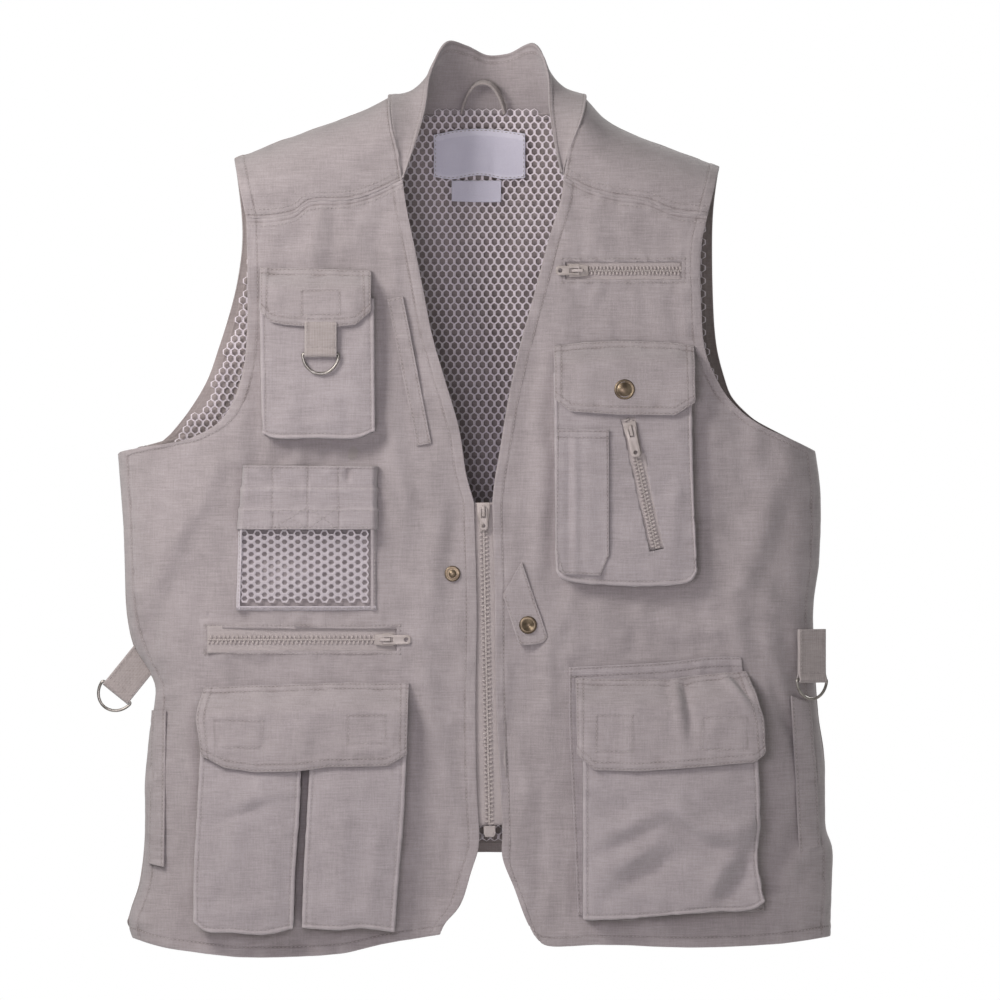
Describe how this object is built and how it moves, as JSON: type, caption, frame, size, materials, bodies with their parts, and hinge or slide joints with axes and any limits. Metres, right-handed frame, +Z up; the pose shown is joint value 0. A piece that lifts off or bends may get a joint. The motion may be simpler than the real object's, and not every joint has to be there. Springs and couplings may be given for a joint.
{
  "type": "fishing vest",
  "caption": "Sleeveless zip-front fishing vest with a mesh-lined back, flapped pouches, zip pockets, snap tab and tool rings.",
  "frame": {"origin": "the point where a hook bears under the hanger loop at the back of the neck", "axes": "+Z up, along the vest's length; the fronts face -Y; +X towards the wearer's left"},
  "size_m": [0.5772, 0.0985, 0.7126],
  "materials": {
    "cloth": "washed khaki twill",
    "pocket_cloth": "washed khaki twill, lighter",
    "mesh": "knitted honeycomb mesh",
    "zip_tape": "woven zip tape",
    "zip_teeth": "moulded teeth",
    "painted_metal": "painted khaki, worn",
    "dark_metal": "dark antique",
    "antique_brass": "antique brass",
    "label": "woven label, blank",
    "hook_tape": "hook tape"
  },
  "bodies": {
    "shell": {"back_panel": "cloth", "right_front_panel": "cloth", "left_front_panel": "cloth", "right_shoulder_yoke": "cloth", "left_shoulder_yoke": "cloth", "collar": "cloth", "pen_pocket_welt": "cloth", "right_hand_pocket_welt": "cloth", "left_hand_pocket_welt": "cloth", "hip_zip_bag": "pocket_cloth", "left_chest_zip_bag": "pocket_cloth", "right_chest_pouch": "pocket_cloth", "pen_pocket_bag": "pocket_cloth", "mesh_pocket_band": "pocket_cloth", "right_lower_pouch_outer": "pocket_cloth", "right_lower_pouch_inner": "pocket_cloth", "left_chest_pouch": "pocket_cloth", "tool_sleeve": "pocket_cloth", "left_lower_slip_pocket": "pocket_cloth", "left_lower_pouch": "pocket_cloth", "right_hand_pocket_bag": "pocket_cloth", "left_hand_pocket_bag": "pocket_cloth", "back_mesh_lining": "mesh", "mesh_pocket_body": "mesh", "hanger_loop": "zip_tape", "main_zip_tape_right": "zip_tape", "main_zip_tape_left": "zip_tape", "hip_zip_chain": "zip_tape", "left_chest_zip_chain": "zip_tape", "diagonal_zip_chain": "zip_tape", "main_zip_teeth_right": "zip_teeth", "main_zip_teeth_left": "zip_teeth", "main_zip_box": "zip_teeth", "pouch_snap_stud": "antique_brass", "storm_tab_stud": "antique_brass", "neck_label": "label"},
    "main_zip_slider": {"main_zip_slider": "painted_metal"},
    "main_zip_pull": {"main_zip_pull": "painted_metal"},
    "hip_zip_slider": {"hip_zip_slider": "painted_metal"},
    "hip_zip_pull": {"hip_zip_pull": "painted_metal"},
    "left_chest_zip_slider": {"left_chest_zip_slider": "painted_metal"},
    "left_chest_zip_pull": {"left_chest_zip_pull": "painted_metal"},
    "diagonal_zip_slider": {"diagonal_zip_slider": "painted_metal"},
    "diagonal_zip_pull": {"diagonal_zip_pull": "painted_metal"},
    "right_chest_flap": {"right_chest_flap": "cloth", "right_chest_flap_hook_patch": "hook_tape", "right_chest_ring_tab": "cloth"},
    "right_chest_d_ring": {"right_chest_d_ring": "dark_metal"},
    "right_lower_flap": {"right_lower_flap": "cloth"},
    "left_chest_flap": {"left_chest_flap": "cloth", "flap_snap_cap": "antique_brass"},
    "left_lower_flap": {"left_lower_flap": "cloth"},
    "storm_tab": {"storm_tab": "cloth", "storm_tab_socket": "antique_brass"},
    "right_side_strap": {"right_side_strap": "cloth"},
    "right_side_ring": {"right_side_ring": "dark_metal"},
    "left_side_strap": {"left_side_strap": "cloth"},
    "left_side_ring": {"left_side_ring": "dark_metal"},
    "care_label": {"care_label": "label"}
  },
  "joints": [
    {"name": "main_zip_slide", "type": "slide", "parent": "shell", "child": "main_zip_slider", "axis": [0.0196, 0, -0.9998], "range_m": [0, 0.232]},
    {"name": "main_zip_pull_hinge", "type": "hinge", "parent": "main_zip_slider", "child": "main_zip_pull", "pos_m": [0.00009, -0.0684, -0.33075], "axis": [-0.9998, 0, -0.0196], "range_deg": [0, 170]},
    {"name": "hip_zip_slide", "type": "slide", "parent": "shell", "child": "hip_zip_slider", "axis": [-1, 0, 0], "range_m": [0, 0.127]},
    {"name": "hip_zip_pull_hinge", "type": "hinge", "parent": "hip_zip_slider", "child": "hip_zip_pull", "pos_m": [-0.07765, -0.06875, -0.433], "axis": [0, 0, -1], "range_deg": [0, 170]},
    {"name": "left_chest_zip_slide", "type": "slide", "parent": "shell", "child": "left_chest_zip_slider", "axis": [1, 0, 0], "range_m": [0, 0.07]},
    {"name": "left_chest_zip_pull_hinge", "type": "hinge", "parent": "left_chest_zip_slider", "child": "left_chest_zip_pull", "pos_m": [0.07465, -0.06975, -0.145], "axis": [0, 0, 1], "range_deg": [0, 170]},
    {"name": "diagonal_zip_slide", "type": "slide", "parent": "shell", "child": "diagonal_zip_slider", "axis": [0.2122, 0, -0.9772], "range_m": [0, 0.083]},
    {"name": "diagonal_zip_pull_hinge", "type": "hinge", "parent": "diagonal_zip_slider", "child": "diagonal_zip_pull", "pos_m": [0.11453, -0.0832, -0.26796], "axis": [-0.9772, 0, -0.2122], "range_deg": [0, 170]},
    {"name": "right_chest_flap_hinge", "type": "hinge", "parent": "shell", "child": "right_chest_flap", "pos_m": [-0.131, -0.06775, -0.143], "axis": [-1, 0, 0], "range_deg": [0, 130]},
    {"name": "right_chest_d_ring_hinge", "type": "hinge", "parent": "right_chest_flap", "child": "right_chest_d_ring", "pos_m": [-0.1265, -0.08485, -0.21015], "axis": [-1, 0, 0], "range_deg": [0, 150]},
    {"name": "right_lower_flap_hinge", "type": "hinge", "parent": "shell", "child": "right_lower_flap", "pos_m": [-0.137, -0.06815, -0.467], "axis": [-1, 0, 0], "range_deg": [0, 130]},
    {"name": "left_chest_flap_hinge", "type": "hinge", "parent": "shell", "child": "left_chest_flap", "pos_m": [0.11, -0.06775, -0.2], "axis": [-1, 0, 0], "range_deg": [0, 130]},
    {"name": "left_lower_flap_hinge", "type": "hinge", "parent": "shell", "child": "left_lower_flap", "pos_m": [0.138, -0.07015, -0.458], "axis": [-1, 0, 0], "range_deg": [0, 130]},
    {"name": "storm_tab_fold", "type": "hinge", "parent": "shell", "child": "storm_tab", "pos_m": [0.02275, -0.07165, -0.385], "axis": [-0.487, 0, -0.8734], "range_deg": [0, 170]},
    {"name": "right_side_strap_hinge", "type": "hinge", "parent": "shell", "child": "right_side_strap", "pos_m": [-0.2725, -0.024, -0.4557], "axis": [0.7771, 0, -0.6293], "range_deg": [-60, 60]},
    {"name": "right_side_ring_hinge", "type": "hinge", "parent": "right_side_strap", "child": "right_side_ring", "pos_m": [-0.2877, -0.024, -0.47447], "axis": [0.7771, 0, -0.6293], "range_deg": [-90, 90]},
    {"name": "left_side_strap_hinge", "type": "hinge", "parent": "shell", "child": "left_side_strap", "pos_m": [0.257, -0.051, -0.425], "axis": [-0.848, -0.53, 0], "range_deg": [0, 120]},
    {"name": "left_side_ring_hinge", "type": "hinge", "parent": "left_side_strap", "child": "left_side_ring", "pos_m": [0.257, -0.051, -0.46415], "axis": [-0.848, -0.53, 0], "range_deg": [0, 150]},
    {"name": "care_label_hinge", "type": "hinge", "parent": "shell", "child": "care_label", "pos_m": [-0.0055, 0.0038, -0.072], "axis": [-1, 0, 0], "range_deg": [0, 80]}
  ]
}
